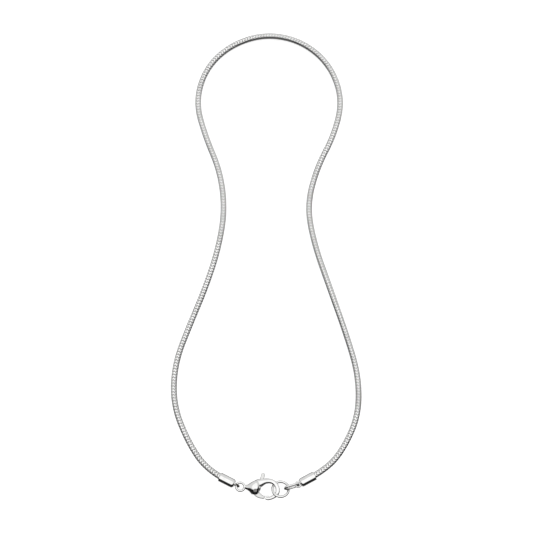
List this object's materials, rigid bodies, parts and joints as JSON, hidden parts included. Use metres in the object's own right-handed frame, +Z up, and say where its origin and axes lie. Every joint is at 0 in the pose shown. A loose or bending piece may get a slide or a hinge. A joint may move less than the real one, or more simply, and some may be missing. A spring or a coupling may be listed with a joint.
{
  "type": "snake chain necklace",
  "caption": "Round silver snake chain in a closed loop, with tubular end caps and a sprung hook clasp that catches a jump ring.",
  "frame": {"origin": "bottom centre of the bounding box, on the surface the necklace lies on", "axes": "+X across the necklace to the end with the jump ring, +Y from the clasp to the far curve, +Z up from the surface"},
  "size_m": [0.075, 0.1877, 0.0043],
  "materials": {
    "chain": "polished silver, fine ribs across the chain",
    "fittings": "polished silver, smooth"
  },
  "bodies": {
    "root": {"snake_chain": "chain", "end_cap_left": "fittings", "end_cap_right": "fittings", "clasp_body": "fittings", "clasp_pin": "fittings", "jump_ring": "fittings", "connecting_link": "fittings"},
    "lever": {"clasp_lever": "fittings"}
  },
  "joints": [
    {"name": "lever_hinge", "type": "hinge", "parent": "root", "child": "lever", "pos_m": [-0.00415, -0.0899, 0.00217], "axis": [0, 0, 1], "range_deg": [0, 20], "stiffness_Nm_per_rad": 0.002, "springref_deg": -17.19}
  ]
}
